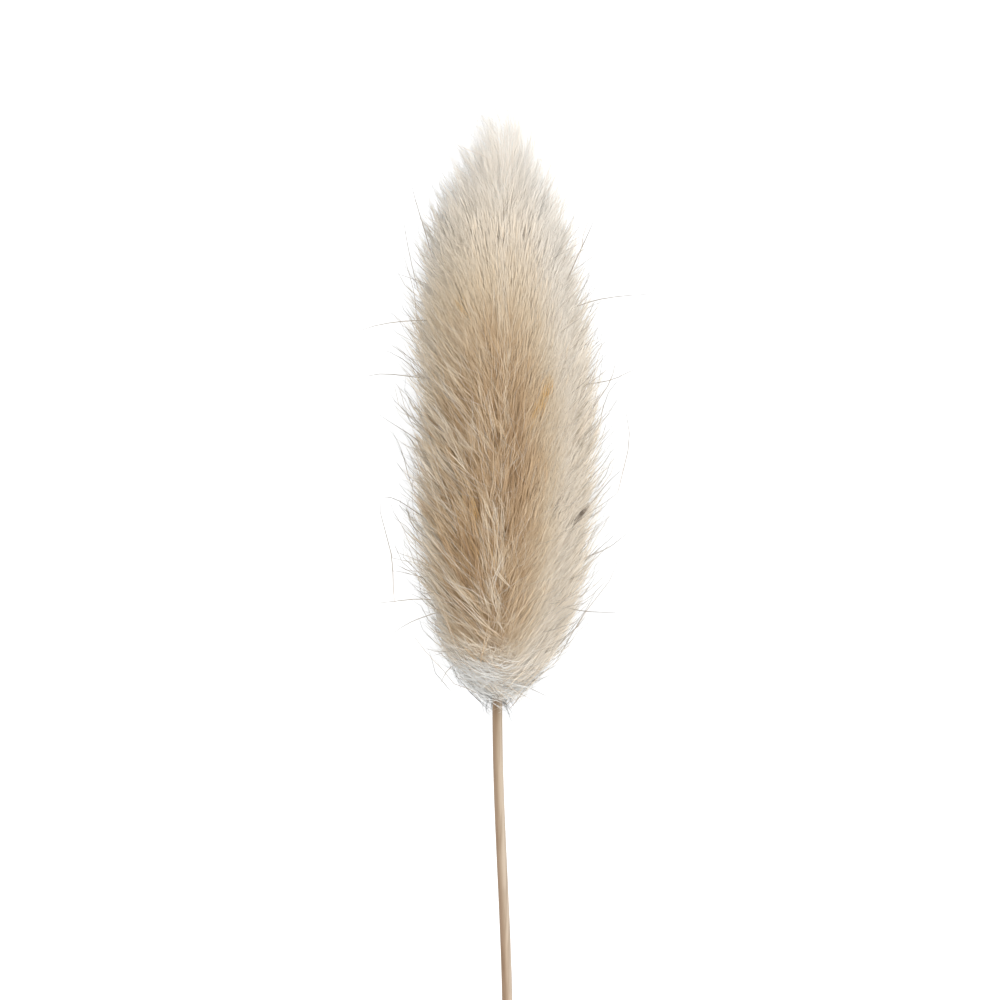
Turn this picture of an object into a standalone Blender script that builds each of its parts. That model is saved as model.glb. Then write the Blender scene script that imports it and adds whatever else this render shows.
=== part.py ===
"""A dried bunny tail (hare's-tail grass) lying on a flat surface.

One thin cut stem runs on inside the furry head as its rachis. Around the rachis sit the tufts, the
short side branches with their crowded spikelets, in the golden-angle spiral that the plant grows
them in. Each tuft is a soft solid that starts narrow at the rachis, swells where its fur fills the
space between its neighbours, and ends in a point on the head's outline.

Metres, +Z up. The stem lies along Y with the head's tip at +Y. The origin is under the middle of
the whole thing, on the surface that it lies on.
"""

import math

import bmesh
import bpy
import numpy as np
from mathutils import Vector

# The head's outline, measured from where the lowest fur leaves the stem.
HEAD_LENGTH = 0.060
HEAD_RADIUS = 0.0095
WIDEST_HEIGHT = 0.024
BASE_FULLNESS = (2.4, 0.5)  # the two powers of the outline below the widest level
TIP_FULLNESS = (2.2, 0.6)  # and above it

# The stem, and the rachis that it becomes inside the head.
STEM_LENGTH = 0.108
STEM_CUT_RADIUS = 0.00058
STEM_NECK_RADIUS = 0.00048
RACHIS_LENGTH = 0.046
RACHIS_TOP_RADIUS = 0.00022
STEM_RINGS = 52
STEM_BEVEL_STEPS = 4

# The line that the stem and the head follow: along Y, sideways X, height Z.
ROUTE = (
    (-0.108, -0.0028, 0.0006),
    (-0.080, -0.0009, 0.0018),
    (-0.052, 0.0006, 0.0036),
    (-0.026, 0.0007, 0.0057),
    (-0.011, 0.0000, 0.0069),
    (-0.002, -0.0003, 0.0074),
    (0.009, 0.0001, 0.0079),
    (0.024, 0.0006, 0.0086),
    (0.042, 0.0004, 0.0094),
    (0.060, 0.0000, 0.0104),
)
ROUTE_STEP = 0.0005  # how far to each side of a point its direction is read

# The tufts.
TUFT_COUNT = 58
GOLDEN_ANGLE = math.pi * (3 - math.sqrt(5))
LOWEST_BRANCH = 0.0020  # height on the rachis of the lowest side branch
BRANCH_RISE = 1.4  # how the side branches crowd towards the head's base
SWEEP = 1.4  # how strongly a tuft curves from sideways to upwards
TUFT_GAP = 0.0003
TUFT_SHARE = 0.49  # a tuft's radius as a share of the way to its nearest neighbour
TUFT_MAX_RADIUS = 0.0032
TUFT_SHOULDER = 0.66  # share of its length where a tuft starts to taper
TUFT_TIP_FULLNESS = 0.75
TUFT_RINGS = 7
TUFT_RING_CROWDING = 1.35  # how closely the sections follow each other towards the tip
TUFT_SIDES = 10
LINE_SAMPLES = 41  # points on a tuft's middle line
SKIN_SAMPLES = 2001  # points on the outline when the skin is shared out

STRAW = (0.60, 0.45, 0.32)
FUR = (0.78, 0.69, 0.57)


def clear_scene():
    for obj in list(bpy.data.objects):
        bpy.data.objects.remove(obj, do_unlink=True)


def material(name, colour, roughness):
    made = bpy.data.materials.new(name)
    made.use_nodes = True
    shader = made.node_tree.nodes["Principled BSDF"]
    shader.inputs["Base Color"].default_value = (*colour, 1.0)
    shader.inputs["Roughness"].default_value = roughness
    shader.inputs["Metallic"].default_value = 0.0
    made.diffuse_color = (*colour, 1.0)
    return made


def route_point(along):
    """Points of the smooth line through ROUTE, at the given distances along Y."""
    y, x, z = np.array(ROUTE).T
    along = np.asarray(along, float)
    return np.stack([smooth(y, x, along), along, smooth(y, z, along)], axis=-1)


def smooth(knots, values, at):
    """A curve through the values whose slope at each one is that of its two neighbours."""
    slopes = np.gradient(values, knots)
    left = np.clip(np.searchsorted(knots, at, side="right") - 1, 0, len(knots) - 2)
    width = knots[left + 1] - knots[left]
    t = (at - knots[left]) / width
    start = (1 + 2 * t) * (1 - t) ** 2 * values[left] + t * (1 - t) ** 2 * width * slopes[left]
    end = t**2 * (3 - 2 * t) * values[left + 1] - t**2 * (1 - t) * width * slopes[left + 1]
    return start + end


def outline_radius(height):
    """The head's radius at a height above its base."""
    below = np.clip((WIDEST_HEIGHT - height) / WIDEST_HEIGHT, 0, 1)
    above = np.clip((height - WIDEST_HEIGHT) / (HEAD_LENGTH - WIDEST_HEIGHT), 0, 1)
    lower = (1 - below ** BASE_FULLNESS[0]) ** BASE_FULLNESS[1]
    upper = (1 - above ** TIP_FULLNESS[0]) ** TIP_FULLNESS[1]
    return HEAD_RADIUS * lower * upper


def rachis_radius(height):
    share = np.clip(height / RACHIS_LENGTH, 0, 1)
    return STEM_NECK_RADIUS + (RACHIS_TOP_RADIUS - STEM_NECK_RADIUS) * share


def tip_heights():
    """Heights of the tufts' tips from the top down, each with the same share of the head's skin."""
    height = np.linspace(HEAD_LENGTH, 0, SKIN_SAMPLES)
    radius = outline_radius(height)
    step = np.hypot(np.diff(height), np.diff(radius))
    area = np.concatenate([[0], np.cumsum(step * (radius[1:] + radius[:-1]) / 2)])
    shares = (np.arange(TUFT_COUNT) + 0.5) / TUFT_COUNT
    heights = np.interp(shares, area / area[-1], height)
    heights[0] = HEAD_LENGTH
    return heights


def tuft_lines():
    """Each tuft's middle line in the head's own coordinates: sideways, along the axis, upwards.

    It leaves the rachis sideways and bends towards the head's tip, except that the lowest ones
    droop a little over the stem.
    """
    tip = tip_heights()[:, None]
    root = LOWEST_BRANCH + (RACHIS_LENGTH - LOWEST_BRANCH) * (tip / HEAD_LENGTH) ** BRANCH_RISE
    turn = (np.arange(TUFT_COUNT) * GOLDEN_ANGLE)[:, None]
    t = np.linspace(0, 1, LINE_SAMPLES)[None, :]
    start = rachis_radius(root) + TUFT_GAP
    out = start + (outline_radius(tip) - start) * (1 - (1 - t) ** SWEEP)
    along = root + (tip - root) * t**SWEEP
    out[0] = 0
    along[0] = RACHIS_LENGTH + TUFT_GAP + (HEAD_LENGTH - RACHIS_LENGTH - TUFT_GAP) * t[0]
    return np.stack([out * np.cos(turn), along, out * np.sin(turn)], axis=-1)


def tuft_radii(lines):
    """A radius at each sample of each line that keeps every tuft clear of the others."""
    count, samples, _ = lines.shape
    radii = np.empty((count, samples))
    for i in range(count):
        others = np.delete(lines, i, axis=0).reshape(-1, 3)
        apart = np.linalg.norm(lines[i][:, None, :] - others[None, :, :], axis=2).min(axis=1)
        from_axis = np.hypot(lines[i][:, 0], lines[i][:, 2])
        beside_rachis = lines[i][:, 1] < RACHIS_LENGTH + TUFT_GAP
        clear = from_axis - rachis_radius(lines[i][:, 1]) - TUFT_GAP
        room = np.where(beside_rachis, clear, apart)
        radii[i] = np.minimum(TUFT_SHARE * apart - TUFT_GAP / 2, room)
    radii = np.clip(radii, TUFT_GAP / 2, TUFT_MAX_RADIUS)
    t = np.linspace(0, 1, samples)
    beyond = np.clip((t - TUFT_SHOULDER) / (1 - TUFT_SHOULDER), 0, 1)
    return radii * (1 - beyond**2) ** TUFT_TIP_FULLNESS


def onto_route(points):
    """Moves points from the head's straight coordinates to where the head lies on its route."""
    along = points[..., 1]
    spine = route_point(along)
    forward = route_point(along + ROUTE_STEP) - route_point(along - ROUTE_STEP)
    forward /= np.linalg.norm(forward, axis=-1, keepdims=True)
    side = np.cross(forward, (0.0, 0.0, 1.0))
    side /= np.linalg.norm(side, axis=-1, keepdims=True)
    up = np.cross(side, forward)
    return spine + side * points[..., :1] + up * points[..., 2:]


def section_rings(line, radii):
    """Round sections square to a line, one ring of corners for each point between its two ends."""
    forward = np.gradient(line, axis=0)
    forward /= np.linalg.norm(forward, axis=1, keepdims=True)
    turn = np.arange(TUFT_SIDES) * 2 * math.pi / TUFT_SIDES
    across = np.cross(forward[0], np.eye(3)[np.abs(forward[0]).argmin()])
    rings = []
    for centre, ahead, radius in zip(line[1:-1], forward[1:-1], radii[1:-1]):
        across = across - ahead * (across @ ahead)
        across /= np.linalg.norm(across)
        over = np.cross(ahead, across)
        spokes = np.cos(turn)[:, None] * across + np.sin(turn)[:, None] * over
        rings.append(centre + radius * spokes)
    return np.array(rings)


def press(points, depth):
    """Flattens fur that would reach below the surface: from -depth..depth to 0..depth, smoothly."""
    low = points[..., 2] < depth
    pressed = (np.clip(points[..., 2], -depth, depth) + depth) ** 2 / (4 * depth)
    flat = points.copy()
    flat[..., 2] = np.where(low, pressed, points[..., 2])
    return flat


def tuft_object(name, root, rings, tip, finish):
    """A closed solid through the rings, drawn to a point at its root and at its tip."""
    mesh = bmesh.new()
    loops = [[mesh.verts.new(corner) for corner in ring] for ring in rings]
    first = mesh.verts.new(root)
    last = mesh.verts.new(tip)
    for lower, upper in zip(loops, loops[1:]):
        for k in range(TUFT_SIDES):
            mesh.faces.new((lower[k], lower[k - 1], upper[k - 1], upper[k]))
    for k in range(TUFT_SIDES):
        mesh.faces.new((loops[0][k - 1], loops[0][k], first))
        mesh.faces.new((loops[-1][k], loops[-1][k - 1], last))
    bmesh.ops.recalc_face_normals(mesh, faces=mesh.faces)
    data = bpy.data.meshes.new(name)
    mesh.to_mesh(data)
    mesh.free()
    data.shade_smooth()
    data.materials.append(finish)
    made = bpy.data.objects.new(name, data)
    bpy.context.collection.objects.link(made)
    return made


def make_tufts(finish):
    lines = tuft_lines()
    radii = tuft_radii(lines)
    t = np.linspace(0, 1, LINE_SAMPLES)
    stations = 1 - (1 - np.linspace(0, 1, TUFT_RINGS + 2)) ** TUFT_RING_CROWDING
    shapes = []
    for line, radius in zip(lines, radii):
        centres = np.stack([np.interp(stations, t, line[:, axis]) for axis in range(3)], axis=1)
        rings = section_rings(centres, np.interp(stations, t, radius))
        shapes.append([onto_route(part) for part in (centres[0], rings, centres[-1])])
    depth = -min(rings[..., 2].min() for _, rings, _ in shapes)
    made = []
    for i, shape in enumerate(shapes):
        name = f"tuft_{TUFT_COUNT - i:02d}" if i else "tuft_tip"
        root, rings, tip = [press(part, depth) for part in shape]
        made.append(tuft_object(name, root, rings, tip, finish))
    return made


def make_stem(finish):
    """The stem and its rachis: one round tapering rod, cut square at its lower end."""
    along = np.linspace(-STEM_LENGTH, RACHIS_LENGTH, STEM_RINGS)
    thick = np.interp(-along, (0, STEM_LENGTH), (STEM_NECK_RADIUS, STEM_CUT_RADIUS))
    radii = np.where(along < 0, thick, rachis_radius(along))
    curve = bpy.data.curves.new("stem", "CURVE")
    curve.dimensions = "3D"
    curve.bevel_depth = STEM_NECK_RADIUS
    curve.bevel_resolution = STEM_BEVEL_STEPS
    curve.use_fill_caps = True
    spline = curve.splines.new("POLY")
    spline.points.add(len(along) - 1)
    for point, place, radius in zip(spline.points, route_point(along), radii):
        point.co = (*place, 1.0)
        point.radius = radius / STEM_NECK_RADIUS
    spline.use_smooth = True
    curve.materials.append(finish)
    made = bpy.data.objects.new("stem", curve)
    bpy.context.collection.objects.link(made)
    return made


def centre_over_origin(pieces):
    """Parents the pieces to one empty that puts the middle of their common box over the origin."""
    bpy.context.view_layer.update()
    corners = [piece.matrix_world @ Vector(corner) for piece in pieces for corner in piece.bound_box]
    low = [min(corner[axis] for corner in corners) for axis in range(2)]
    high = [max(corner[axis] for corner in corners) for axis in range(2)]
    holder = bpy.data.objects.new("bunny_tail", None)
    bpy.context.collection.objects.link(holder)
    for piece in pieces:
        piece.parent = holder
    holder.location = (-(low[0] + high[0]) / 2, -(low[1] + high[1]) / 2, 0.0)


def main():
    clear_scene()
    stem = make_stem(material("dry_straw", STRAW, 0.55))
    tufts = make_tufts(material("silky_fur", FUR, 0.85))
    centre_over_origin([stem, *tufts])


main()
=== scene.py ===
import bpy
import math
import numpy as np
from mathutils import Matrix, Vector


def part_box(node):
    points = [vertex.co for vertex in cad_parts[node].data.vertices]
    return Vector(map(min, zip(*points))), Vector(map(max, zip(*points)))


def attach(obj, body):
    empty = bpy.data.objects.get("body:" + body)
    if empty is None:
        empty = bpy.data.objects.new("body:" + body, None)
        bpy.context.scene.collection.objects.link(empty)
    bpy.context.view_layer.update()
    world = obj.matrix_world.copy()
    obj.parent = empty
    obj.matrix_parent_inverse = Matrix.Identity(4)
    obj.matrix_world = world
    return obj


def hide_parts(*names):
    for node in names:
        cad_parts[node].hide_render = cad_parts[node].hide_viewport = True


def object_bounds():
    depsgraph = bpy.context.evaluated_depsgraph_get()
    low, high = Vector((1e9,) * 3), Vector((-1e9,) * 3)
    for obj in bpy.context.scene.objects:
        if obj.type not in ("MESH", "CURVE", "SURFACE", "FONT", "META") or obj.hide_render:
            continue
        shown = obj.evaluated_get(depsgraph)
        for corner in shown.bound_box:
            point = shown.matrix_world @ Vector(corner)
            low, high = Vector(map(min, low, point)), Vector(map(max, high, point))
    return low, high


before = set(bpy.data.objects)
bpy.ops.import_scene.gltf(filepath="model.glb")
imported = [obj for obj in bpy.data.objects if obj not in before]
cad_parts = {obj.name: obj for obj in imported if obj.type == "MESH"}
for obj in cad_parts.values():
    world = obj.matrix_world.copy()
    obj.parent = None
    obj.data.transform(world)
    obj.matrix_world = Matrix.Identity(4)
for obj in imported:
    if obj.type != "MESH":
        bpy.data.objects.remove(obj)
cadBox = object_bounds()
print("frame loaded:", len(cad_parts), "nodes")

rng = np.random.default_rng(41)
golden = math.pi * (3 - math.sqrt(5))  # the turn from one spikelet to the next
ground = 0.00002  # the lowest level that the stem reaches
furSlot, glumeSlot, awnSlot = 0, 1, 2  # places in a tuft's list of materials

# Lengths are in metres. The head is worked out straight, as (side, height, up) with height from
# its base and side and up from its axis, and is then bent onto the line of the CAD stem.
# A rule is the places where something is set, and then its value at each, straight in between.
# Its places are one of these: up the head, as shares of its height; across it, from -1 on the
# left to 1 on the right; over it, from -1 below the axis to 1 above; or out to either side, from
# 0 over or under the axis to 1.
head = {
    "length": 0.060,
    "radius": 0.0097,
    "widest": 0.024,  # height of the widest level
    "baseFullness": (2.4, 0.5),  # powers a and b of the outline below that level
    "tipFullness": (3.1, 0.62),  # and above it
    "ends": (0.0002, 0.0597),  # heights of the lowest and the highest lock
    "rachis": 0.046,  # how far the stem goes on inside the head
    "pressDepth": 0.0013,  # how deep the fur is pressed flat where it lies
}
tufts = sorted(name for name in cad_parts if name.startswith("tuft_"))
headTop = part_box("tuft_tip")[1].y
headBase = headTop - head["length"]


def stemPoints():
    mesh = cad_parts["stem"].data
    points = np.empty(len(mesh.vertices) * 3)
    mesh.vertices.foreach_get("co", points)
    return points.reshape(-1, 3)


def fitAxis(degree=11, steps=60):
    # x and z as polynomials of y, through the CAD stem's points and on to the top of the head
    points = stemPoints()
    low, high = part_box("tuft_tip")
    start = points[points[:, 1].argmax()]
    end = np.array([(low.x + high.x) / 2, headTop, (low.z + high.z) / 2])
    points = np.concatenate([points, np.linspace(start, end, steps)])
    fitX = np.polynomial.Polynomial.fit(points[:, 1], points[:, 0], degree)
    fitZ = np.polynomial.Polynomial.fit(points[:, 1], points[:, 2], degree)
    return fitX, fitZ


axisX, axisZ = fitAxis()


def unit(vectors):
    # each vector over its length, which is taken as a little more than nothing
    return vectors / np.maximum(np.linalg.norm(vectors, axis=-1, keepdims=True), 1e-12)


def axisPoint(y):
    return np.stack([axisX(y), y, axisZ(y)], axis=-1)


def axisFrame(y):
    # the axis's own side and up directions at y
    forward = unit(np.stack([axisX.deriv()(y), np.ones_like(y), axisZ.deriv()(y)], axis=-1))
    side = unit(np.cross(forward, (0.0, 0.0, 1.0)))
    return side, np.cross(side, forward)


def ontoAxis(straight):
    # straight head -> row frame: the axis point at that height, plus side and up along its frame
    y = headBase + straight[..., 1]
    side, up = axisFrame(y)
    return axisPoint(y) + side * straight[..., :1] + up * straight[..., 2:]


def press(points, floor):
    # fur near the surface is squeezed towards it: z -> (z + d)^2 / 4d, and never under floor
    d = head["pressDepth"]
    z = points[..., 2]
    squeezed = (np.clip(z, -d, d) + d) ** 2 / (4 * d)
    points[..., 2] = np.maximum(np.where(z < d, squeezed, z), floor)
    return points


def outlineRadius(height):
    # radius * (1 - x^a)^b, x the share of the way from the widest level to the end
    below = np.clip((head["widest"] - height) / head["widest"], 0, 1)
    above = np.clip((height - head["widest"]) / (head["length"] - head["widest"]), 0, 1)
    lower = (1 - below ** head["baseFullness"][0]) ** head["baseFullness"][1]
    upper = (1 - above ** head["tipFullness"][0]) ** head["tipFullness"][1]
    return head["radius"] * lower * upper


def skinHeights(count, lowest, highest, levels=2001, least=0.0004):
    # heights at which a spiral of count points shares out the head's skin evenly, from the top;
    # each level's share is its slant height times its radius, which is never under least
    height = np.linspace(head["length"] * highest, head["length"] * lowest, levels)
    radius = outlineRadius(height) + least
    step = np.hypot(np.diff(height), np.diff(radius))
    area = np.concatenate([[0], np.cumsum(step * (radius[1:] + radius[:-1]) / 2)])
    return np.interp((np.arange(count) + 0.5) / count, area / area[-1], height)


def spiral(count, lowest=0.0, highest=1.0, scatter=0.0004):
    # heights and turns of count points over the skin, each scattered by about that length
    height = skinHeights(count, lowest, highest) + rng.normal(0, scatter, count)
    turn = np.arange(count) * golden + rng.normal(0, scatter / head["radius"], count)
    return np.clip(height, *head["ends"]), turn


def headPoint(height, turn, out):
    return np.stack([out * np.cos(turn), height, out * np.sin(turn)], axis=-1)


def leaning(turn, lean, twist):
    # a direction lean degrees away from the axis, twisted sideways round the head
    outwards = np.stack([np.cos(turn), np.zeros_like(turn), np.sin(turn)], axis=-1)
    sideways = np.stack([-np.sin(turn), np.zeros_like(turn), np.cos(turn)], axis=-1)
    lean, twist = np.radians(lean)[..., None], np.radians(twist)[..., None]
    away = outwards * np.cos(twist) + sideways * np.sin(twist)
    return away * np.sin(lean) + np.array((0.0, 1.0, 0.0)) * np.cos(lean)


def strandPattern(segments, sides):
    # faces and map places of a strand with a point at each end: vertex 0 is the root, each ring
    # has one vertex a side, and the last vertex is the tip
    faces, u, v = [], [], []
    last = sides * (segments - 1) + 1
    for k in range(sides):
        a, b = 1 + k, 1 + (k + 1) % sides
        faces.append((0, b, a))
        u.append((k + 0.5, k + 1, k))
        v.append((0, 1, 1))
        faces.append((last - 1 - sides + a, last - 1 - sides + b, last))
        u.append((k, k + 1, k + 0.5))
        v.append((segments - 1, segments - 1, segments))
        for ring in range(segments - 2):
            c, d = a + sides * ring, b + sides * ring
            faces += [(c, d, d + sides), (c, d + sides, c + sides)]
            u += [(k, k + 1, k + 1), (k, k + 1, k)]
            v += [(ring + 1, ring + 1, ring + 2), (ring + 1, ring + 2, ring + 2)]
    return np.array(faces), np.array(u, float) / sides, np.array(v, float) / segments


strand = {
    "fullest": 0.4,  # share of the way along at which it is widest
    "taper": 0.75,  # how much narrower it is at its ends
    "mapWidth": 0.012,  # of its map place, which starts at its tone
    "mapMargin": 0.02,  # left free at both ends of its map
}


def strands(middle, width, tone, sides=3, flatness=1.0, facing=None):
    # round each strand's middle line stand the corners of a closed section, at half its width
    # across and half its width times flatness the other way, both times a swell that is 1 where
    # t is fullest and falls as a parabola towards the point at each end
    count, segments = len(middle), middle.shape[1] - 1
    ahead = unit(middle[:, 2:] - middle[:, :-2])
    if facing is None:
        facing = np.eye(3)[np.abs(middle[:, -1] - middle[:, 0]).argmin(axis=-1)]
    across = unit(np.cross(ahead, facing[:, None]))
    over = np.cross(ahead, across)
    t, fullest = np.arange(1, segments) / segments, strand["fullest"]
    swell = 1 - strand["taper"] * ((t - fullest) / np.where(t < fullest, fullest, 1 - fullest)) ** 2
    half = width[:, None, None, None] / 2 * swell[None, :, None, None]
    angle = (np.arange(sides) * 2 * math.pi / sides)[None, None, :, None]
    spokes = np.cos(angle) * across[:, :, None] + flatness * np.sin(angle) * over[:, :, None]
    rings = (middle[:, 1:-1, None] + half * spokes).reshape(count, -1, 3)
    points = np.concatenate([middle[:, :1], rings, middle[:, -1:]], axis=1)
    faces, u, v = strandPattern(segments, sides)
    u = tone[:, None, None] + u[None] * strand["mapWidth"]
    v = np.broadcast_to(v[None], u.shape) * (1 - 2 * strand["mapMargin"]) + strand["mapMargin"]
    return points, faces, np.stack([u, v], axis=-1)


def bend(root, tip, start, segments):
    # a middle line root + t L start + t^2 (tip - root - L start), L the distance root to tip
    reach = tip - root
    first = np.linalg.norm(reach, axis=1, keepdims=True) * start
    t = (np.arange(segments + 1) / segments)[None, :, None]
    return root[:, None] + t * first[:, None] + t**2 * (reach - first)[:, None]


def waves(count, segments, size, bends=1.2):
    # size t sin(2 pi bends t + phase) along a direction of each strand's own
    t = (np.arange(segments + 1) / segments)[None, :]
    phase = rng.uniform(0, 2 * math.pi, (count, 1))
    swing = size * t * np.sin(2 * math.pi * bends * t + phase)
    return swing[:, :, None] * unit(rng.normal(0, 1, (count, 3)))[:, None]


class Heap:
    # gathers strands, each with the tuft it belongs to, and makes one piece a tuft
    def __init__(self):
        self.parts = []

    def add(self, points, faces, uv, owner, slot):
        self.parts.append((points, faces, uv, owner, slot))

    def count(self):
        return sum(len(points) * len(faces) for points, faces, *rest in self.parts)

    def piece(self, name, index, materials):
        allPoints, allFaces, allUv, allSlots, base = [], [], [], [], 0
        for points, faces, uv, owner, slot in self.parts:
            mine = np.nonzero(owner == index)[0]
            if not len(mine):
                continue
            each = points.shape[1]
            shift = base + np.arange(len(mine))[:, None, None] * each
            allPoints.append(points[mine].reshape(-1, 3))
            allFaces.append((faces[None] + shift).reshape(-1, 3))
            allUv.append(uv[mine].reshape(-1, 2))
            allSlots.append(np.full(len(mine) * len(faces), slot))
            base += len(mine) * each
        arrays = [np.concatenate(part) for part in (allPoints, allFaces, allUv, allSlots)]
        made = newPiece(name, *arrays, materials)
        soften(made.data, arrays[0])
        return made


def newPiece(name, points, faces, uv, slots, materials):
    mesh = bpy.data.meshes.new(name)
    mesh.vertices.add(len(points))
    mesh.vertices.foreach_set("co", points.astype(np.float32).ravel())
    mesh.loops.add(faces.size)
    mesh.loops.foreach_set("vertex_index", faces.astype(np.int32).ravel())
    mesh.polygons.add(len(faces))
    mesh.polygons.foreach_set("loop_start", np.arange(0, faces.size, 3, dtype=np.int32))
    mesh.update(calc_edges=True)
    mesh.polygons.foreach_set("material_index", slots.astype(np.int32))
    mesh.polygons.foreach_set("use_smooth", np.ones(len(faces), bool))
    layer = mesh.uv_layers.new(name="OFBake")
    layer.data.foreach_set("uv", uv.astype(np.float32).ravel())
    for material in materials:
        mesh.materials.append(material)
    mesh.update()
    made = bpy.data.objects.new(name, mesh)
    bpy.context.scene.collection.objects.link(made)
    return made


shading = {
    # how far the fur is shaded by the head's round shape, not by its single hairs, from where it
    # is ruffled to where it is smooth: a rule up the head and one across it
    "softUp": ((0.5, 0.8), (0.75, 0.93)),
    "softAcross": ((0.0, 0.5), (0.75, 0.93)),
    "flat": 0.6,  # how wide that shape counts for its height
    "forward": ((0.0, 0.2, 0.7, 1.0), (-0.3, 0.0, 0.0, 0.4)),  # up: how far it turns to the tip
    "skyward": ((0.7, 1.0), (0.75, 1.1)),  # up: and how far it turns to the sky
}


def soften(mesh, points):
    # normals: own (1 - s) + outwards s, so that the fur is shaded partly as one round mass; s is
    # the higher of the two soft rules, and outwards turns by the last two
    own = np.empty(points.size)
    mesh.vertex_normals.foreach_get("vector", own)
    spokes = points - axisPoint(points[:, 1])
    share = (points[:, 1] - headBase) / head["length"]
    outwards = unit(spokes * np.array((shading["flat"], 1.0, 1.0)))
    outwards[:, 1] += np.interp(share, *shading["forward"])
    outwards[:, 2] += np.interp(share, *shading["skyward"])
    softUp = np.interp(share, *shading["softUp"])
    softAcross = np.interp(spokes[:, 0] / head["radius"], *shading["softAcross"])
    softness = np.maximum(softUp, softAcross)[:, None]
    blended = own.reshape(-1, 3) * (1 - softness) + unit(outwards) * softness
    mesh.normals_split_custom_set_from_vertices(unit(blended))


class Link:
    # wraps a socket, so that sums of sockets and numbers add their Math nodes
    def __init__(self, paint, socket):
        self.paint, self.socket = paint, socket

    def maths(self, operation, first, second):
        return self.paint.node("ShaderNodeMath", {"operation": operation}, {0: first, 1: second})

    def __add__(self, other):
        return self.maths("ADD", self, other)

    def __sub__(self, other):
        return self.maths("SUBTRACT", self, other)

    def __rsub__(self, other):
        return self.maths("SUBTRACT", other, self)

    def __mul__(self, other):
        return self.maths("MULTIPLY", self, other)

    def __truediv__(self, other):
        return self.maths("DIVIDE", self, other)

    def __pow__(self, other):
        return self.maths("POWER", self, other)

    __radd__ = __add__
    __rmul__ = __mul__


class Paint:
    # one material or world: node() adds any node and gives its wanted output
    def __init__(self, owner):
        self.owner = owner
        owner.use_nodes = True
        self.tree = owner.node_tree

    def node(self, kind, settings=None, values=None, output=0):
        made = self.tree.nodes.new(kind)
        for key, value in (settings or {}).items():
            if key == "stops":
                self.setStops(made.color_ramp, value)
            else:
                setattr(made, key, value)
        for key, value in (values or {}).items():
            self.put(made.inputs[key], value)
        return Link(self, made.outputs[output])

    def put(self, socket, value):
        if isinstance(value, Link):
            self.tree.links.new(value.socket, socket)
        elif isinstance(value, tuple) and len(value) == 3 and socket.type == "RGBA":
            socket.default_value = (*value, 1.0)
        else:
            socket.default_value = value

    def setStops(self, ramp, stops):
        while len(ramp.elements) > 1:
            ramp.elements.remove(ramp.elements[-1])
        for i, (place, colour) in enumerate(stops):
            element = ramp.elements[0] if i == 0 else ramp.elements.new(place)
            element.position = place
            element.color = (*colour, 1.0)

    def ramp(self, share, stops):
        # the colours of the stops, straight in between
        return self.node("ShaderNodeValToRGB", {"stops": stops}, {0: share})

    def mix(self, share, first, second):
        values = {"Factor": share, 6: first, 7: second}
        return self.node("ShaderNodeMix", {"data_type": "RGBA"}, values, output=2)

    def mapPlace(self):
        # across and along, the two directions of the piece's own map
        look = self.node("ShaderNodeUVMap", {"uv_map": "OFBake"})
        across = self.node("ShaderNodeSeparateXYZ", values={0: look})
        return across, Link(self, across.socket.node.outputs[1])

    def shader(self, name):
        return self.tree.nodes[name]


def newPaint(name, **values):
    paint = Paint(bpy.data.materials.new(name))
    for key, value in values.items():
        paint.put(paint.shader("Principled BSDF").inputs[key.replace("_", " ")], value)
    return paint


def linear(red, green, blue):
    # a screen colour, 0 to 255, as the linear values that shaders take
    part = np.array([red, green, blue]) / 255
    return tuple(np.where(part <= 0.04045, part / 12.92, ((part + 0.055) / 1.055) ** 2.4))


furColours = {
    # across the map: from the brownest hair to the palest, then grey wool, golden hair and specks
    # darker at the roots than at the tips: partly the hairs' own colour, partly painted shade deep in
    # the fur
    "roots": [
        (0.00, linear(150, 110, 72)),
        (0.06, linear(174, 134, 94)),
        (0.12, linear(192, 154, 110)),
        (0.25, linear(224, 191, 150)),
        (0.45, linear(253, 234, 207)),
        (0.60, linear(255, 244, 229)),
        (0.66, linear(248, 246, 240)),
        (0.74, linear(248, 246, 240)),
        (0.79, linear(214, 164, 100)),
        (0.86, linear(214, 164, 100)),
        (0.92, linear(70, 52, 38)),
    ],
    "tips": [
        (0.00, linear(188, 154, 114)),
        (0.06, linear(206, 175, 138)),
        (0.12, linear(219, 191, 154)),
        (0.25, linear(240, 223, 196)),
        (0.45, linear(255, 246, 232)),
        (0.60, linear(255, 249, 239)),
        (0.66, linear(254, 253, 249)),
        (0.74, linear(254, 253, 249)),
        (0.79, linear(232, 192, 130)),
        (0.86, linear(232, 192, 130)),
        (0.92, linear(92, 70, 52)),
    ],
    "fading": 0.7,  # under 1, the tips' colour starts sooner along the hair
    "paper": linear(230, 208, 176),  # the ends of the glumes
    "paperShare": 0.3,
    "glow": 0.10,  # share of the light that comes through a hair
}


def glowing(paint, colour):
    # a thin, dry fibre: the same colour held up against the light for a share of it
    through = paint.node("ShaderNodeBsdfTranslucent", values={0: colour})
    principled = paint.shader("Principled BSDF")
    paint.put(principled.inputs["Base Color"], colour)
    values = {0: furColours["glow"], 1: Link(paint, principled.outputs[0]), 2: through}
    both = paint.node("ShaderNodeMixShader", values=values)
    paint.put(paint.shader("Material Output").inputs["Surface"], both)
    return paint.owner


def furMaterial():
    paint = newPaint("silky_fur", Roughness=0.6, Specular_IOR_Level=0.25)
    tone, along = paint.mapPlace()
    # roots darker than tips: partly painted shade deep in the fur
    roots = paint.ramp(tone, furColours["roots"])
    tips = paint.ramp(tone, furColours["tips"])
    return glowing(paint, paint.mix(along ** furColours["fading"], roots, tips))


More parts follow.
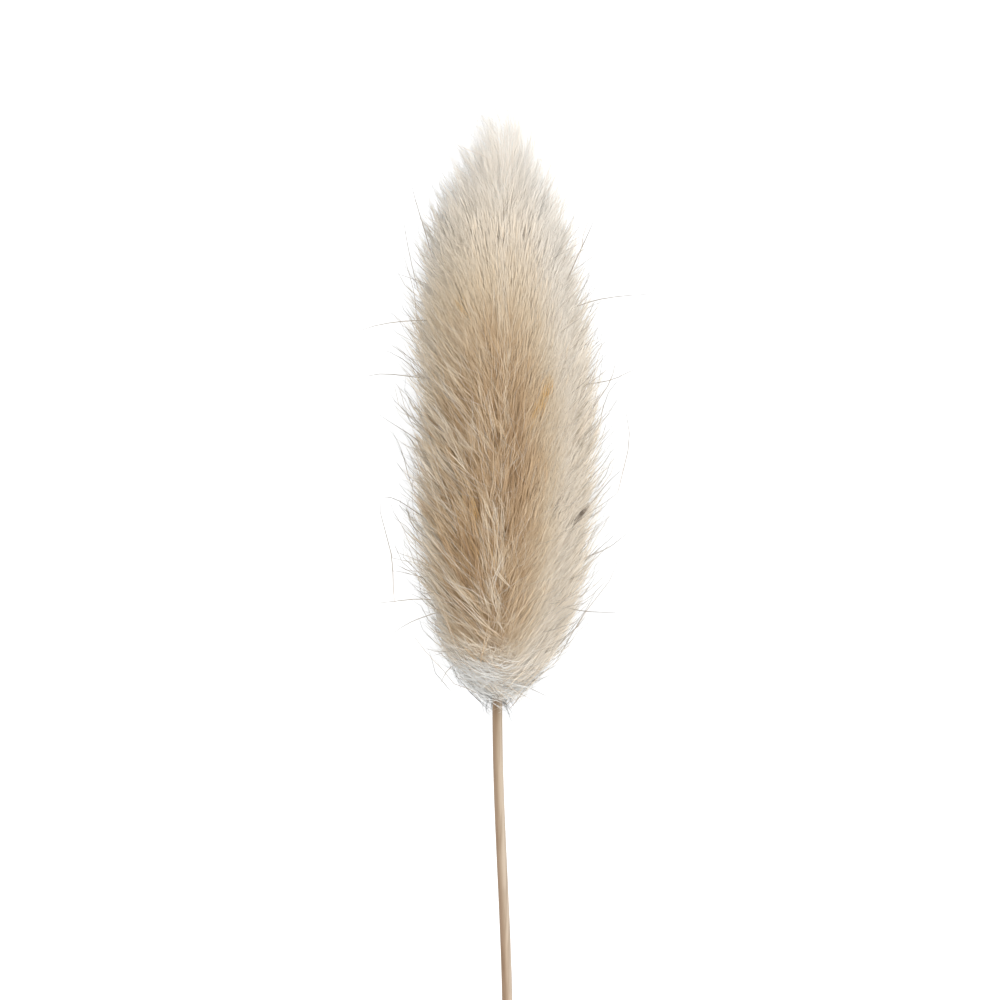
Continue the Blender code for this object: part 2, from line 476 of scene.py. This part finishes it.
def glumeMaterial():
    paint = newPaint("papery_glume", Roughness=0.7)
    tone, along = paint.mapPlace()
    colour = paint.ramp(tone, furColours["tips"])
    return glowing(paint, paint.mix(along * furColours["paperShare"], colour, furColours["paper"]))


awnColours = {
    # from root to tip, where the awn is pale on the fur and where it stands out dark; the dark is
    # partly the awns' own colour and partly painted shade
    "pale": [(0.0, linear(224, 204, 176)), (0.5, linear(216, 204, 186)), (1.0, linear(208, 202, 194))],
    "dark": [(0.0, linear(132, 100, 68)), (0.5, linear(112, 94, 76)), (1.0, linear(104, 94, 84))],
}


def awnMaterial():
    # pale where the map place across is low, dark where it is high
    paint = newPaint("dry_awn", Roughness=0.5)
    tone, along = paint.mapPlace()
    pale, dark = paint.ramp(along, awnColours["pale"]), paint.ramp(along, awnColours["dark"])
    paint.put(paint.shader("Principled BSDF").inputs["Base Color"], paint.mix(tone, pale, dark))
    return paint.owner


materials = [furMaterial(), glumeMaterial(), awnMaterial()]
print("materials made")


spikelets = {
    "count": 230,
    "radius": 0.0018,
    "scatter": 0.0008,  # how far their middles stray from an even spiral
    "lean": 3,  # degrees that one spikelet's hairs may all lean off the rule
    "twist": 5,
    "tone": 0.04,
    "drawIn": 0.10,  # how far its hairs draw in to its own middle at their tips
    "crown": 0.02,  # how much lower its edges are than its middle, as a share of the outline
}
combing = {
    # up: degrees that the fur leans out from the head's axis
    "lean": ((0.0, 0.05, 0.12, 0.25, 0.40, 0.55, 0.75, 0.92, 1.0), (76, 60, 48, 38, 36, 34, 30, 24, 8)),
    "flatUp": ((0.15, 0.35), (0.0, 0.2)),  # up: how much of that is lost above and below the axis
    "flatRound": ((0.3, 1.0), (0.0, 1.0)),  # over, either way: and how that comes on
    "flatUnder": ((-0.7, -0.1), (0.4, 0.0)),  # over: how much of it is lost under the head
    "closedRight": 8,  # how many degrees less the fur on the right leans out
    "swept": 24,  # degrees that the fur beside the middle line is swept away from it, at most
    "stray": (0.8, 0.2),  # how much of a layer's stray is everywhere, and only where it is patchy
    "edge": ((0.75, 0.95), (0.0, 1.0)),  # out: where the head is seen against the ground
    "edgeRuffle": 0.5,  # how much less smooth the fur is there
    "shortened": 0.45,  # how much shorter it is where it is smooth
    "wispyTip": 0.0070,  # how far the last hairs stand past the head's tip
    "wispyFrom": 0.8,  # from this share of the head's height
}
ending = {
    "level": 0.9,  # share of the outline where the layers end together
    "layers": 0.6,  # how far they come together where the fur is smooth
    "locks": 0.7,  # and how far each layer's own locks do
    "sooner": 0.15,  # at the edges most locks end this much of ragged sooner, a few well past
    "airyUp": ((0.68, 0.9), (0.0, 1.0)),  # up: where the locks end far apart, near the tip
    "airyOut": ((0.3, 0.8), (0.1, 1.0)),  # out: and how that comes on
    "airy": (-2.2, 1.0),  # how much of ragged sooner or later they end there
    "skew": ((0.55, 0.7, 0.9, 1.0), (0.0, 0.055, 0.055, 0.0275)),  # up: further out on the left
}
parting = {
    # at the base, above the stem: how much higher the locks start, and up to which share
    "lift": 0.0014,
    "upTo": 0.08,
    "notch": 0.0024,  # height and half width of the notch between the hairs' tips
    "notchWidth": 0.0012,
}
lockShape = {
    "spread": 0.7,  # of its hairs round it, as a share of its radius
    "loosened": 1.5,  # how much further they spread where the fur is smooth
    "thickness": 0.25,  # outwards, as a share of its width
    "thinned": 0.85,  # how much thinner it is outwards where the fur is smooth
    "slide": (-0.25, 0.05),  # how far along the lock a hair is shifted, as a share of its length
    "rootSlide": 0.6,  # how much of that its root goes along with
    "stray": 0.08,  # how far a hair sets off beside the lock's direction
    "calmed": 0.7,  # how much less it waves where the fur is smooth
    "floor": (0.00006, 0.0003),  # lowest level of a pressed hair, drawn between these
    # up: how wide a hair is for its layer
    "width": ((0.0, 0.05, 0.82, 0.9, 0.95, 1.0), (0.6, 1.0, 1.0, 0.45, 0.22, 0.12)),
}
awnLook = {
    # dark at the sides: partly the hairs' own colour, partly painted shade on the hairs there
    "dark": ((0.6, 0.98), (0.05, 0.4)),  # out: dark at the sides, pale on the fur
    "paleUp": ((0.6, 0.9), (1.0, 0.3)),  # up: and less dark towards the tip
    "width": ((0.5, 0.9), (0.4, 1.0)),  # out: thin on the fur
}
toning = {
    # up: browner in the lower middle, cream towards the tip, and grey wool at the base
    "up": (
        (0.0, 0.04, 0.075, 0.115, 0.16, 0.3, 0.5, 0.58, 0.68, 0.79, 0.89, 1.0),
        (0.70, 0.64, 0.37, 0.17, 0.08, 0.045, 0.035, 0.08, 0.18, 0.34, 0.51, 0.56),
    ),
    "palest": ((0.5, 0.8), (0.5, 0.64)),  # up: the tone that it pales to
    # across: how far it pales, painted light on the right and at the left edge, with a pale line along
    # the middle
    "across": (
        (-1.0, -0.92, -0.8, -0.6, -0.4, -0.08, 0.0, 0.08, 0.45, 0.8),
        (0.7, 0.26, 0.12, 0.07, 0.03, 0.0, 0.3, 0.0, 0.22, 0.75),
    ),
    # the paling below is painted light on the shaded underside
    "over": ((0.0, 0.45), (0.75, 0.0)),  # over: and how far it pales below
    "woolSides": 0.035,  # how much further the wool reaches up at the sides
    "woolUpTo": 0.2,  # up to this share of the height
    "patchyUp": ((0.0, 0.1, 0.5, 0.72), (0.5, 1.2, 1.0, 0.12)),  # up: how much the tone varies
    "patchyAcross": ((-0.1, 0.45), (1.0, 0.12)),  # across: most on the left
    "range": (0.01, 0.7),  # the lowest and the highest tone of a hair
}

# what each layer of fur has unless it says otherwise
usualLayer = {
    "hairs": 1,  # in a lock
    "sides": 3,
    "finer": 0.0,  # how much thinner its hairs are where the fur is smooth
    "flatness": 1.0,
    "ragged": 0.0,  # how unevenly its locks end at the head's edges and towards its tip
    "halo": 0.0,  # how far they end past their reach
    "radius": 0.0,  # of a lock at its root
    "gather": (0.0, 0.0),  # how far its hairs come together at its tip
    "lean": 0,  # degrees that the layer leans off the rule
    "curl": 0.0,  # how far a hair waves from its line at its tip
    "fade": 1.0,  # how much of the head's paler tones it takes on
    "tone": 0.0,  # how much paler it is than the rules say
    "slot": furSlot,
}
furLayers = {
    "glumes": {
        "locks": 480,
        "sides": 4,
        "segments": 6,
        "span": (0.10, 0.80),  # shares of the head's height that a layer covers
        "length": (0.0060, 0.0075),
        "width": (0.0013, 0.0018),
        "flatness": 0.2,
        "reach": (0.66, 0.76),  # where a lock ends, as a share of the head's outline
        "lift": 20,  # degrees that a hair leans further out at its root than at its tip
        "stray": (3, 3),  # how far its locks lean and twist off the rule, in degrees
        "uneven": (0.03, 0.0),  # of the tone from lock to lock, and from hair to hair
        "slot": glumeSlot,
    },
    "under": {
        "locks": 2400,
        "hairs": 10,
        "segments": 2,
        "span": (0.07, 0.83),
        "length": (0.0044, 0.0060),
        "width": (0.00010, 0.00016),
        "reach": (0.78, 0.84),
        "ragged": 0.08,
        "radius": 0.00040,
        "gather": (0.0, 0.4),
        "lift": 12,
        "lean": -10,
        "stray": (4, 6),
        # darker than the coat above by fade and tone: painted shade on the deeper hair
        "fade": 0.95,
        "tone": -0.03,
        "uneven": (0.04, 0.03),
    },
    "coat": {
        "locks": 12500,
        "hairs": 7,
        "segments": 2,
        "span": (0.075, 0.985),
        "length": (0.0048, 0.0076),
        "width": (0.000045, 0.00008),
        "finer": 0.3,
        "reach": (0.85, 0.93),
        "ragged": 0.2,
        "radius": 0.00022,
        "gather": (0.3, 0.95),
        "lift": 14,
        "curl": 0.00015,
        "stray": (6, 9),
        "uneven": (0.09, 0.02),
    },
    "outer": {
        "locks": 2600,
        "hairs": 4,
        "segments": 3,
        "span": (0.05, 1.0),
        "length": (0.0054, 0.0090),
        "width": (0.000045, 0.00008),
        "finer": 0.45,
        "reach": (0.90, 1.04),
        "ragged": 0.2,
        "halo": 0.0002,
        "radius": 0.00018,
        "gather": (0.3, 0.95),
        "lift": 20,
        "lean": 3,
        "curl": 0.0004,
        "stray": (8, 12),
        "tone": 0.09,
        "uneven": (0.07, 0.02),
    },
    "fringe": {
        "locks": 1700,
        "segments": 4,
        "span": (0.03, 0.95),
        "length": (0.0060, 0.0100),
        "width": (0.00005, 0.00008),
        "finer": 0.3,
        "reach": (1.00, 1.30),
        "halo": 0.0005,
        "lift": 26,
        "lean": 8,
        "curl": 0.0007,
        "stray": (12, 14),
        "uneven": (0.2, 0.0),
        "slot": awnSlot,
    },
    "wool": {
        "locks": 600,
        "hairs": 4,
        "segments": 5,
        "span": (0.015, 0.10),
        "length": (0.0036, 0.0060),
        "width": (0.00004, 0.00007),
        "reach": (0.75, 1.05),
        "halo": 0.0002,
        "radius": 0.00030,
        "gather": (-1.0, 0.2),
        "lift": 32,
        "lean": 10,
        "curl": 0.0010,
        "stray": (18, 20),
        "tone": 0.10,
        "uneven": (0.03, 0.02),
    },
    "awns": {
        "locks": 130,
        "segments": 6,
        "span": (0.04, 0.86),
        "length": (0.0090, 0.0140),
        "width": (0.00008, 0.00011),
        "finer": 0.3,
        "reach": (1.08, 1.40),
        "halo": 0.0005,
        "lift": 6,
        "lean": 14,
        "curl": 0.0008,
        "stray": (16, 16),
        "tone": 0.3,
        "uneven": (0.1, 0.0),
        "slot": awnSlot,
    },
}

# small places of another colour, on the side that lies uppermost: side and height of the middle,
# size, share of the hairs there and their map place (0.82 is golden, 0.95 is dark)
accents = [
    ((0.0046, 0.0329), 0.0005, 0.8, 0.83),
    ((0.0042, 0.0320), 0.0005, 0.8, 0.83),
    ((0.0037, 0.0309), 0.0005, 0.7, 0.83),
    ((0.0031, 0.0298), 0.0004, 0.6, 0.83),
    ((-0.0046, 0.0412), 0.0006, 0.4, 0.83),
    ((-0.0042, 0.0205), 0.0014, 0.15, 0.82),
    ((-0.0042, 0.0160), 0.0012, 0.15, 0.82),
    ((-0.0010, 0.0160), 0.0009, 0.2, 0.82),
    ((0.0088, 0.0203), 0.00025, 0.9, 0.95),
    ((0.0084, 0.0199), 0.00025, 0.9, 0.95),
    ((0.0034, 0.0230), 0.0002, 0.7, 0.95),
    ((0.0060, 0.0213), 0.0002, 0.7, 0.95),
    ((0.0009, 0.0071), 0.0002, 0.7, 0.95),
]


def ownersOf(points):
    # the CAD tuft whose middle is nearest to each point
    middles = np.array([np.add(*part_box(name)) / 2 for name in tufts])
    return np.linalg.norm(points[:, None] - middles[None], axis=2).argmin(axis=1)


def furTone(share, turn):
    # the tone up the head, and from there towards the palest by the rule across or below it, whichever
    # is higher: painted light on the right, at the left edge and on the shaded underside; the sides
    # take the tone of a place that is lower by woolSides side^2, so that the wool reaches up there
    side = np.cos(turn)
    share = share - toning["woolSides"] * side**2 * np.clip(1 - share / toning["woolUpTo"], 0, 1)
    along = np.interp(share, *toning["up"])
    # paler on the right, at the left edge and below: painted light
    paler = np.maximum(np.interp(side, *toning["across"]), np.interp(np.sin(turn), *toning["over"]))
    return along + paler * np.maximum(np.interp(share, *toning["palest"]) - along, 0)


def furPatchiness(share, turn):
    # the tone varies most low on the left, and hardly at all on the right and at the tip
    return np.interp(share, *toning["patchyUp"]) * np.interp(np.cos(turn), *toning["patchyAcross"])


def makeSpikelets():
    count = spikelets["count"]
    height, turn = spiral(count, scatter=spikelets["scatter"])
    return {
        "middle": headPoint(height, turn, outlineRadius(height)),
        "lean": rng.normal(0, spikelets["lean"], count),
        "twist": rng.normal(0, spikelets["twist"], count),
        "tone": rng.normal(0, spikelets["tone"], count),
    }


def placeLocks(layer, grown):
    # a spiral of locks: height, turn, share of the head's height, spikelet whose middle is
    # nearest, and how far that is; above the stem they are lifted by lift sin^4 (1 - share / upTo)
    height, turn = spiral(layer["locks"], *layer["span"])
    share = height / head["length"]
    here = headPoint(height, turn, outlineRadius(height))
    away = np.linalg.norm(here[:, None] - grown["middle"][None], axis=2)
    front = np.clip(np.sin(turn), 0, 1) ** 4
    height = height + parting["lift"] * front * np.clip(1 - share / parting["upTo"], 0, 1)
    return height, turn, share, away.argmin(axis=1), away.min(axis=1) / spikelets["radius"]


def combLocks(layer, turn, share, patchy, spikelet):
    # degrees that each lock leans out, less where the fur lies flat, and that it twists round the
    # head, by swept sin 2 turn; both stray less where the fur is not patchy
    over = np.sin(turn)
    flat = np.interp(share, *combing["flatUp"]) * np.interp(np.abs(over), *combing["flatRound"])
    flat = np.maximum(flat, np.interp(over, *combing["flatUnder"]))
    lean = np.interp(share, *combing["lean"]) * (1 - flat)
    lean += layer["lean"] - combing["closedRight"] * np.clip(np.cos(turn), 0, 1)
    ruffled = combing["stray"][0] + combing["stray"][1] * patchy
    lean += ruffled * (spikelet["lean"] + rng.normal(0, layer["stray"][0], len(turn)))
    twist = ruffled * (spikelet["twist"] + rng.normal(0, layer["stray"][1], len(turn)))
    return lean, twist - combing["swept"] * np.sin(2 * turn)


def endLocks(layer, turn, share, smooth, edge, away):
    # where each lock ends, as a share of the outline: the layer's reach, which comes level where
    # the fur is smooth and spreads where it is ragged, less crown away^2 round its spikelet
    count, out = len(turn), np.abs(np.cos(turn))
    level = sum(layer["reach"]) / 2
    reach = (rng.uniform(*layer["reach"], count) - level) * (1 - ending["locks"] * smooth)
    if layer["slot"] == furSlot:
        level = ending["level"] + (level - ending["level"]) * (1 - ending["layers"] * smooth)
    reach += level
    reach += layer["ragged"] * edge * (rng.random(count) ** 3 - ending["sooner"])
    airy = np.interp(share, *ending["airyUp"]) * np.interp(out, *ending["airyOut"])
    reach += layer["ragged"] * airy * rng.uniform(*ending["airy"], count)
    reach -= np.cos(turn) * np.interp(share, *ending["skew"])
    return reach - spikelets["crown"] * away**2 * (1 - smooth)


def spreadHairs(layer, tip, root, start, outwards, smooth):
    # the hairs of each lock, round its line: each is offset by a random length that is cut down
    # outwards, gathers in towards the tip, and slides along the lock; gives middle lines and tips
    hairs = len(tip)
    gather = rng.uniform(*layer["gather"], hairs)[:, None] * (1 - smooth)
    offset = rng.normal(0, lockShape["spread"], (hairs, 3)) * layer["radius"]
    offset *= 1 + lockShape["loosened"] * smooth
    flattened = 1 - lockShape["thickness"] * (1 - lockShape["thinned"] * smooth)
    offset -= outwards * np.sum(offset * outwards, axis=1, keepdims=True) * flattened
    slide = rng.uniform(*lockShape["slide"], hairs)[:, None] * (tip - root)
    root = root + offset + slide * lockShape["rootSlide"]
    tip = tip + offset * (1 - gather) + slide
    notch = parting["notch"] * np.clip(1 - np.abs(tip[:, 0]) / parting["notchWidth"], 0, 1)
    tip[:, 1] = np.maximum(tip[:, 1], notch * (tip[:, 2] > 0))  # the stem shows a little way up
    start = unit(start + rng.normal(0, lockShape["stray"], (hairs, 3)))
    middle = bend(root, tip, start, layer["segments"])
    curl = layer["curl"] * (1 - lockShape["calmed"] * smooth)
    middle = ontoAxis(middle + waves(hairs, layer["segments"], curl))
    return press(middle, rng.uniform(*lockShape["floor"], (hairs, 1))), tip


def addAccents(tone, tip, fur):
    # fur hairs on the upper side take an accent's tone if their tip is within size of its middle
    for middle, size, share, accent in accents:
        near = np.hypot(*(tip[:, :2] - middle).T) < size
        chosen = near & (tip[:, 2] > 0) & fur & (rng.random(len(tip)) < share)
        tone = np.where(chosen, accent, tone)
    return tone


def growLayer(layer, grown):
    # each lock's tip is on the outline times reach, and its root is its length back from there;
    # the fur is smooth where its tone hardly varies, and less so at the head's edges
    height, turn, share, mine, away = placeLocks(layer, grown)
    count, out = len(turn), np.abs(np.cos(turn))
    spikelet = {key: values[mine] for key, values in grown.items()}
    patchy = furPatchiness(share, turn)
    edge = np.interp(out, *combing["edge"])
    smooth = (1 - np.minimum(patchy, 1)) * (1 - combing["edgeRuffle"] * edge)
    lean, twist = combLocks(layer, turn, share, patchy, spikelet)
    reach = endLocks(layer, turn, share, smooth, edge, away)
    length = (rng.uniform(*layer["length"], count) * (1 - combing["shortened"] * smooth))[:, None]
    outline = outlineRadius(height)
    tip = headPoint(height, turn, outline * reach + layer["halo"])
    tip += (spikelet["middle"] - headPoint(height, turn, outline)) * spikelets["drawIn"]
    wispy = np.clip((share - combing["wispyFrom"]) / (1 - combing["wispyFrom"]), 0, 1)
    tip[:, 1] += combing["wispyTip"] * rng.random(count) ** 2 * wispy
    start, end = leaning(turn, lean + layer["lift"], twist), leaning(turn, lean, twist)
    root = tip - length * (start + end) / 2
    tone = spikelet["tone"] + layer["tone"] + rng.normal(0, layer["uneven"][0], count)
    tone = furTone(share, turn) * layer["fade"] + patchy * tone

    j = np.repeat(np.arange(count), layer["hairs"])  # each hair's lock
    hairs = len(j)
    outwards = leaning(turn, np.full(count, 90.0), np.zeros(count))[j]
    middle, hairTip = spreadHairs(layer, tip[j], root[j], start[j], outwards, smooth[j][:, None])
    if layer["slot"] == awnSlot:
        tone = (np.interp(out, *awnLook["dark"]) + layer["tone"]) * np.interp(share, *awnLook["paleUp"])
        tone += rng.normal(0, layer["uneven"][0], count)
    tone = tone[j] + patchy[j] * rng.normal(0, layer["uneven"][1], hairs)
    tone = addAccents(np.clip(tone, *toning["range"]), hairTip, layer["slot"] == furSlot)
    owner = ownersOf(ontoAxis((tip + root) / 2))[j]
    width = rng.uniform(*layer["width"], hairs) * (1 - layer["finer"] * smooth[j])
    width *= np.interp(share, *lockShape["width"])[j]
    if layer["slot"] == awnSlot:
        width *= np.interp(out, *awnLook["width"])[j]
    facing = outwards if layer["slot"] == glumeSlot else None
    return strands(middle, width, tone, layer["sides"], layer["flatness"], facing), owner


longAwn = {
    "segments": 9,
    "width": 0.0001,
    "rooted": 0.004,  # how deep it is rooted in the fur
    "leaves": 0.9,  # where it leaves the fur, as a share of the outline
    "rise": 0.6,  # how high it is there, as a share of its tip's height above the axis
    "from": (0.3, 0.6),  # how far inwards and how far below the line to its tip it comes from
    "curl": 0.0006,
    "floor": 0.0001,
    "tone": (0.5, 0.9),
    # side, height where it leaves the fur, then the height of its tip, how far out that is, and
    # how high above the axis
    "places": [
        (-1, 0.0394, 0.0377, 0.0154, 0.0030),
        (-1, 0.0335, 0.0329, 0.0150, 0.0012),
        (-1, 0.0459, 0.0530, 0.0094, 0.0016),
        (-1, 0.0102, 0.0091, 0.0132, 0.0020),
        (-1, 0.0089, 0.0053, 0.0118, 0.0006),
        (-1, 0.0190, 0.0202, 0.0136, 0.0024),
        (-1, 0.0262, 0.0296, 0.0138, 0.0002),
        (-1, 0.0036, 0.0007, 0.0066, 0.0010),
        (1, 0.0405, 0.0409, 0.0154, 0.0024),
        (1, 0.0325, 0.0330, 0.0150, 0.0010),
        (1, 0.0290, 0.0352, 0.0118, 0.0030),
        (1, 0.0150, 0.0176, 0.0142, 0.0018),
        (1, 0.0200, 0.0246, 0.0128, 0.0004),
        (1, 0.0100, 0.0086, 0.0126, 0.0012),
        (1, 0.0450, 0.0500, 0.0098, 0.0020),
        (1, 0.0019, 0.0028, 0.0046, 0.0010),
    ],
}


def placeAwns():
    # each starts inside the fur, rooted lower and further in than the place where it leaves it
    side, leaves, height, out, rise = np.array(longAwn["places"]).T
    outline = outlineRadius(leaves) * longAwn["leaves"]
    edge = np.stack([side * outline, leaves, rise * longAwn["rise"]], axis=-1)
    tip = np.stack([side * out, height, rise], axis=-1)
    inwards, below = longAwn["from"]
    away = np.stack([side * inwards, np.full(len(side), below), np.zeros(len(side))], axis=-1)
    root = edge - longAwn["rooted"] * unit(unit(tip - edge) + away)
    middle = bend(root, tip, unit(edge - root), longAwn["segments"])
    middle = middle + waves(len(side), longAwn["segments"], longAwn["curl"])
    middle = press(ontoAxis(middle), longAwn["floor"])
    tone = rng.uniform(*longAwn["tone"], len(side))
    return strands(middle, np.full(len(side), longAwn["width"]), tone), ownersOf(ontoAxis(edge))


heap = Heap()
grown = makeSpikelets()
for name, layer in furLayers.items():
    layer = {**usualLayer, **layer}
    made, owner = growLayer(layer, grown)
    heap.add(*made, owner, layer["slot"])
    print("fur,", name, "layer:", len(owner), "hairs")
made, owner = placeAwns()
heap.add(*made, owner, awnSlot)
for index, name in enumerate(tufts):
    piece = heap.piece("fur_" + name, index, materials)
    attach(piece, "root")
    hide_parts(name)
print("tufts made:", heap.count(), "triangles")


straw = {
    "cutRadius": 0.00058,
    "neckRadius": 0.00051,
    "topRadius": 0.00022,
    "sides": 28,
    "spacing": 0.0007,  # from ring to ring
    "ribs": ((7, 60, 1.0), (3, -35, 0.6)),  # how many, radians that they twist in a metre, and size
    "ribDepth": 0.035,  # as a share of the radius
    "pith": 0.45,  # radius of the hollow at the cut end, as a share of the stem's
    "pithDepth": 0.0012,
    "edge": 0.00003,  # how far the edges at the cut are rounded
    "end": 0.6,  # how wide the last ring is for the one before it
}
strawColours = {
    # from where the stem enters the fur down to the cut
    "down": [
        (0.00, linear(118, 96, 72)),
        (0.012, linear(128, 106, 80)),
        (0.024, linear(150, 128, 102)),
        (0.06, linear(166, 146, 122)),
        (0.15, linear(174, 155, 132)),
        (0.24, linear(168, 145, 122)),
        (0.55, linear(172, 148, 120)),
        (0.90, linear(166, 140, 108)),
        (1.00, linear(140, 112, 82)),
    ],
    # places round the stem and shares there of a pale colour on its right and a brown on its left: a
    # painted highlight and painted shade
    "paleRound": [(0.0, 1.0), (0.2, 0.3), (0.4, 0.0), (0.72, 0.0), (0.86, 0.75)],
    "brownRound": [(0.42, 0.0), (0.54, 1.0), (0.64, 1.0), (0.78, 0.0)],
    "pale": (0.62, linear(224, 208, 188)),
    "brown": (0.6, linear(132, 104, 80)),
    # fine streaks and broad patches: scale of the noise, its detail, the level from which it
    # shows, how strongly, and the colour; both are drawn out along the stem
    "streaks": ((2600, 90, 2600), 4.0, 0.42, 1.6, linear(112, 86, 60)),
    "patches": ((700, 45, 700), 2.0, 0.5, 0.9, linear(206, 186, 156)),
    "roughness": (0.42, 0.3),  # least, and how much the streaks add
    "bump": 0.00004,
    "bumpStrength": 0.5,
}


def strawMaterial():
    # dry straw: browner where it enters the fur, with long fine streaks, a painted highlight down one
    # side and painted shade down the other
    paint = newPaint("dry_straw", Roughness=0.55, Specular_IOR_Level=0.4)
    spot = paint.node("ShaderNodeTexCoord", output=3)
    height = paint.node("ShaderNodeSeparateXYZ", values={0: spot}, output=1)
    colour = paint.ramp((headBase - height) / (headBase - cadBox[0][1]), strawColours["down"])
    across = paint.mapPlace()[0]
    # a painted highlight down the right side and painted shade down the left
    for side in ("pale", "brown"):
        strength, tint = strawColours[side]
        stops = [(place, (level,) * 3) for place, level in strawColours[side + "Round"]]
        colour = paint.mix(paint.ramp(across, stops) * strength, colour, tint)
    noises = []
    for marks in ("streaks", "patches"):
        scale, detail, level, strength, tint = strawColours[marks]
        drawn = paint.node("ShaderNodeVectorMath", {"operation": "MULTIPLY"}, {0: spot, 1: scale})
        values = {"Vector": drawn, "Scale": 1.0, "Detail": detail}
        noises.append(paint.node("ShaderNodeTexNoise", values=values))
        colour = paint.mix((noises[-1] - level) * strength, colour, tint)
    principled, (least, more) = paint.shader("Principled BSDF"), strawColours["roughness"]
    paint.put(principled.inputs["Base Color"], colour)
    paint.put(principled.inputs["Roughness"], noises[0] * more + least)
    values = {
        "Height": noises[0],
        "Distance": strawColours["bump"],
        "Strength": strawColours["bumpStrength"],
    }
    paint.put(principled.inputs["Normal"], paint.node("ShaderNodeBump", values=values))
    return paint.owner


def makeStem():
    # rings round the axis with radius r (1 + d ribs), ribs the sum of size cos(many a + twist y),
    # after a rim and a hollow at the cut
    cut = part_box("stem")[0].y + straw["edge"]
    top = headBase + head["rachis"]
    y = np.linspace(cut, top, int((top - cut) / straw["spacing"]))
    radii = [straw["cutRadius"], straw["neckRadius"], straw["topRadius"]]
    radius = np.interp(y, (cut, headBase, top), radii)
    rim, hollow, edge = radius[0], radius[0] * straw["pith"], straw["edge"]
    ends = [hollow - edge, hollow, hollow, hollow + edge, rim - edge]
    places = [straw["pithDepth"], straw["pithDepth"] - edge, edge, 0, 0]
    radius = np.concatenate([ends, radius, radius[-1:] * straw["end"]])
    y = np.concatenate([cut - edge + np.array(places), y, y[-1:] + edge])
    angle = np.arange(straw["sides"]) * 2 * math.pi / straw["sides"]
    ribs = 0
    for many, twist, size in straw["ribs"]:
        ribs = ribs + size * np.cos(many * angle[None] + twist * y[:, None])
    out = radius[:, None] * (1 + straw["ribDepth"] * ribs * (radius[:, None] > hollow + edge))
    side, up = axisFrame(y)
    spokes = np.cos(angle)[None, :, None] * side[:, None] - np.sin(angle)[None, :, None] * up[:, None]
    rings = axisPoint(y)[:, None] + out[:, :, None] * spokes
    ends = axisPoint(np.array([y[0], y[-1] + edge]))
    points = np.concatenate([ends[:1], rings.reshape(-1, 3), ends[1:]])
    points[:, 2] = np.maximum(points[:, 2], ground)
    faces, u, v = strandPattern(len(rings) + 1, straw["sides"])
    uv = np.stack([u, v], axis=-1).reshape(-1, 2)
    return newPiece("straw_stem", points, faces, uv, np.zeros(len(faces)), [strawMaterial()])


stem = makeStem()
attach(stem, "root")
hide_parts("stem")
print("stem made:", len(stem.data.polygons), "triangles")


stage = {
    "scale": 0.0001026,  # metres across one thousandth of the frame
    "distance": 0.9,
    "centre": (0.0003, 0.0202),  # of the frame: right of the head's tip, and up from its base
    "floorSize": 12.0,
    "floorColour": (0.78, 0.79, 0.80),
    "floorGlow": (0.97, 0.985, 1.0),  # only for what looks at the floor
    "glowStrength": 0.4,
    "key": 7.2,
    "keySize": 1.4,
    "keyPlace": (0.1, 0.35, 1.1),  # from the head's base
    "keyAim": (0.0, 0.03, 0.009),
    "fill": 1.0,
}


def seen(paint):
    # 1 for what is looked at, 0 for the light that falls on the object
    path = paint.node("ShaderNodeLightPath").socket.node.outputs
    direct = Link(paint, path["Is Camera Ray"]) + Link(paint, path["Is Glossy Ray"])
    return direct + Link(paint, path["Is Transmission Ray"])


def makeFloor():
    half = stage["floorSize"] / 2
    mesh = bpy.data.meshes.new("floor")
    corners = [(-half, -half, 0), (half, -half, 0), (half, half, 0), (-half, half, 0)]
    mesh.from_pydata(corners, [], [(0, 1, 2, 3)])
    floor = bpy.data.objects.new("floor", mesh)
    bpy.context.scene.collection.objects.link(floor)
    paint = newPaint("floor_white", Roughness=0.9, Specular_IOR_Level=0.0)
    principled = paint.shader("Principled BSDF")
    paint.put(principled.inputs["Base Color"], stage["floorColour"])
    paint.put(principled.inputs["Emission Color"], stage["floorGlow"])
    paint.put(principled.inputs["Emission Strength"], seen(paint) * stage["glowStrength"])
    mesh.materials.append(paint.owner)


def makeWorld():
    # white where it is looked at, and as bright as the fill for the light on the object
    world = bpy.data.worlds.new("studio")
    bpy.context.scene.world = world
    paint = Paint(world)
    background = paint.shader("Background")
    paint.put(background.inputs["Color"], (1.0, 1.0, 1.0))
    paint.put(background.inputs["Strength"], seen(paint) * (1.0 - stage["fill"]) + stage["fill"])


def makeLamp(name, place, target, size, power):
    # a round lamp that faces the target; both places are taken from the head's base
    base = Vector((0, headBase, 0))
    lamp = bpy.data.lights.new(name, "AREA")
    lamp.shape = "DISK"
    lamp.size = size
    lamp.energy = power
    made = bpy.data.objects.new(name, lamp)
    made.location = base + Vector(place)
    made.rotation_euler = (Vector(target) - Vector(place)).to_track_quat("-Z", "Y").to_euler()
    bpy.context.scene.collection.objects.link(made)


def makeCamera():
    # straight above, with the tip of the head towards the top of the picture
    lens = bpy.data.cameras.new("camera")
    lens.sensor_width = 36.0
    lens.lens = lens.sensor_width * stage["distance"] / (1000 * stage["scale"])
    made = bpy.data.objects.new("camera", lens)
    right, forward = stage["centre"]
    x, y = float(axisX(headTop)) + right, headBase + forward
    made.location = (x, y, float(axisZ(y)) + stage["distance"])
    bpy.context.scene.collection.objects.link(made)
    bpy.context.scene.camera = made


makeFloor()
makeWorld()
makeLamp("key", stage["keyPlace"], stage["keyAim"], stage["keySize"], stage["key"])
makeCamera()
bpy.context.scene.view_settings.view_transform = "Standard"
print("stage set")
